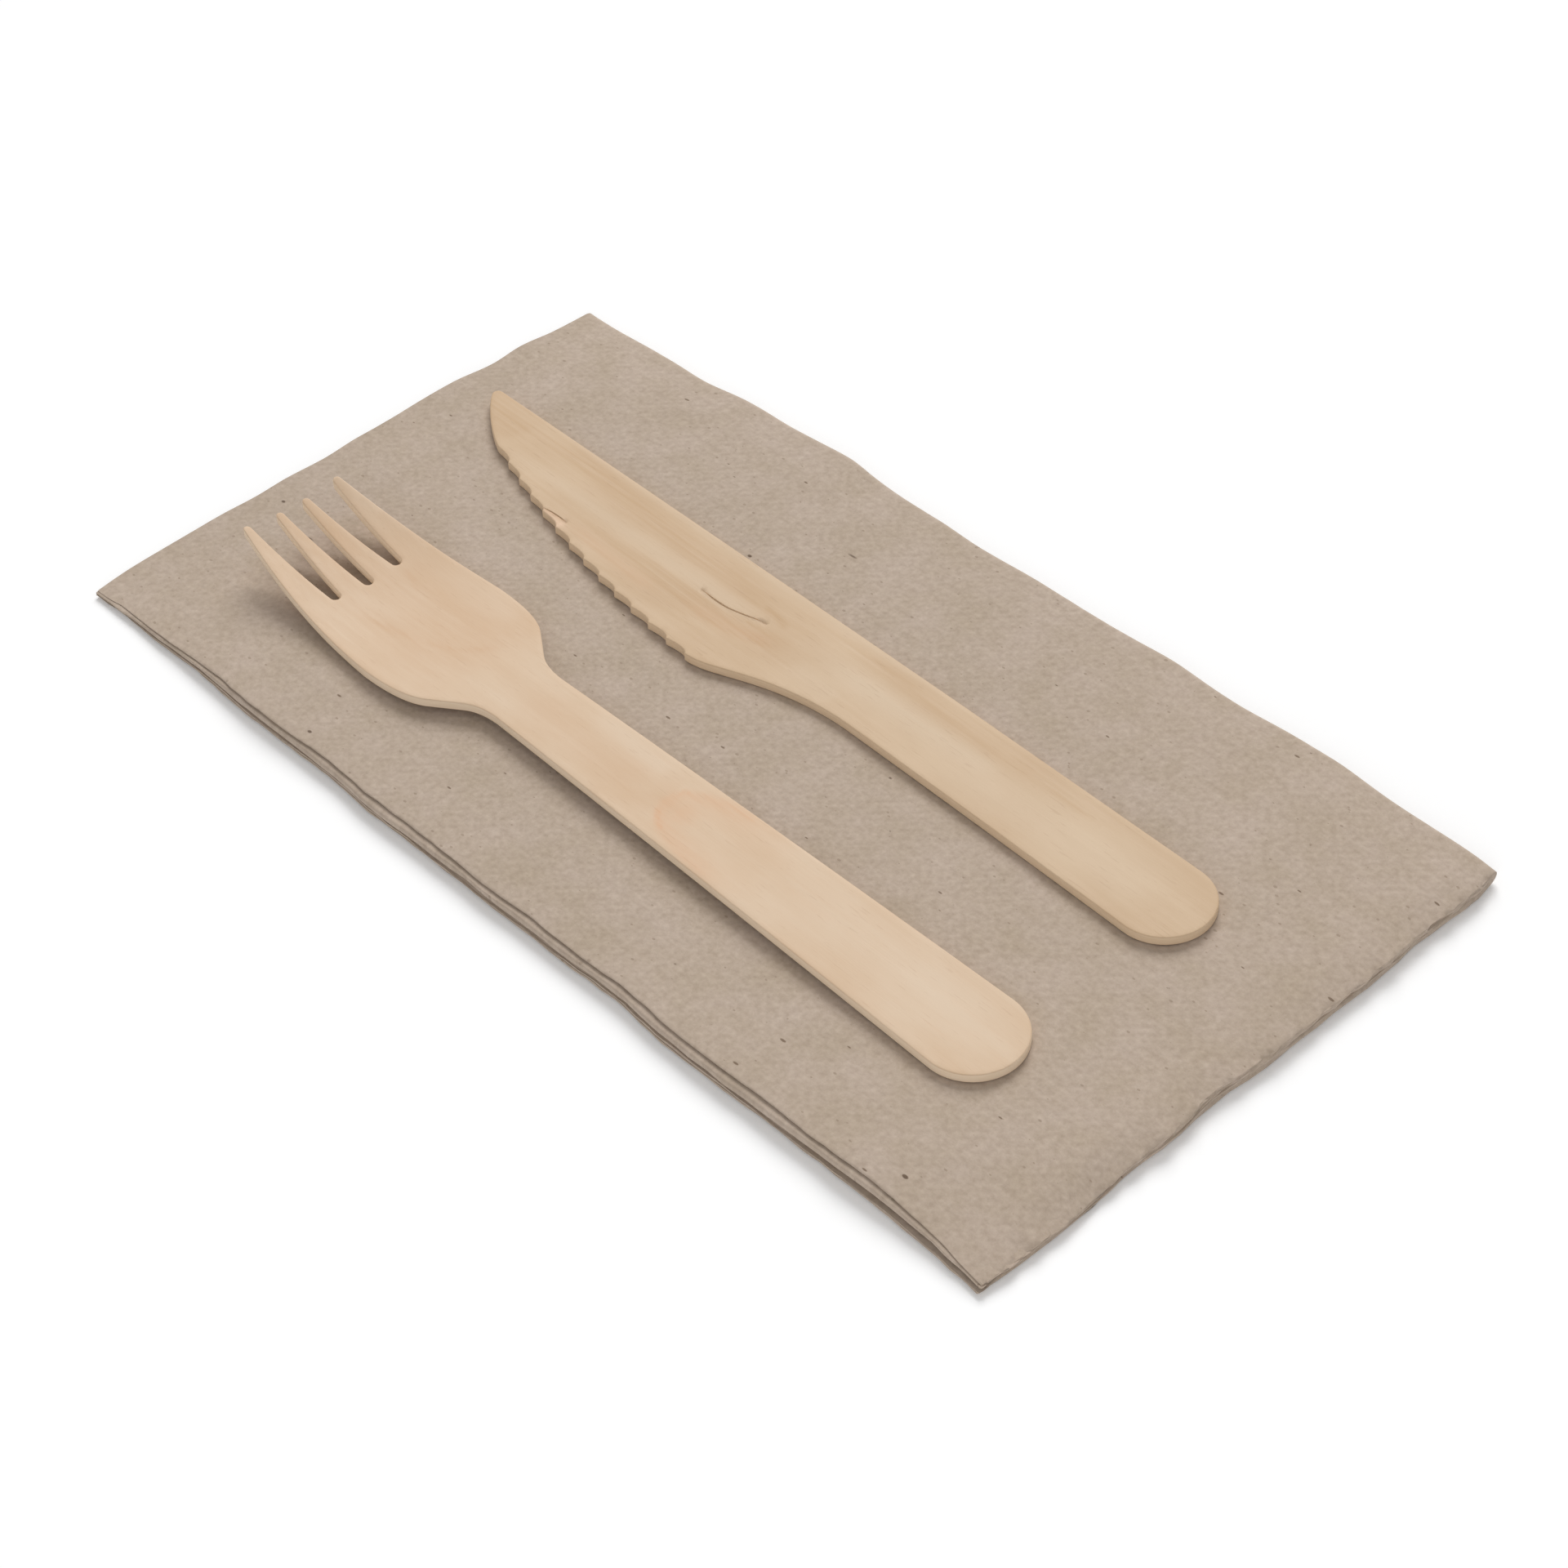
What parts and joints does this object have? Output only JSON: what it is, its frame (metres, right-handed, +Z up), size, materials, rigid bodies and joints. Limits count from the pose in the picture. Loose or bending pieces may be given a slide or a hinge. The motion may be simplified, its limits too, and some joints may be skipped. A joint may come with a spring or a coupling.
{
  "type": "wooden cutlery set",
  "caption": "Flat birch veneer fork and serrated knife laid side by side on a folded kraft paper napkin, as set out for a take-away meal.",
  "frame": {"origin": "on the table, under the middle of the napkin's outline", "axes": "+X along the napkin from the tine end to the handle end, +Y from the fork to the knife, +Z up"},
  "size_m": [0.1924, 0.1014, 0.0103],
  "materials": {
    "tissue": "unbleached kraft tissue, soft and matte, with dark fibre specks",
    "fork_birch": "bare rotary-cut birch veneer, smooth and matte, with a faint growth-ring mark",
    "knife_birch": "bare rotary-cut birch veneer, smooth and matte, with long grain bands and a hairline crack"
  },
  "bodies": {
    "root": {"napkin": "tissue", "fork": "fork_birch", "knife": "knife_birch"}
  },
  "joints": []
}
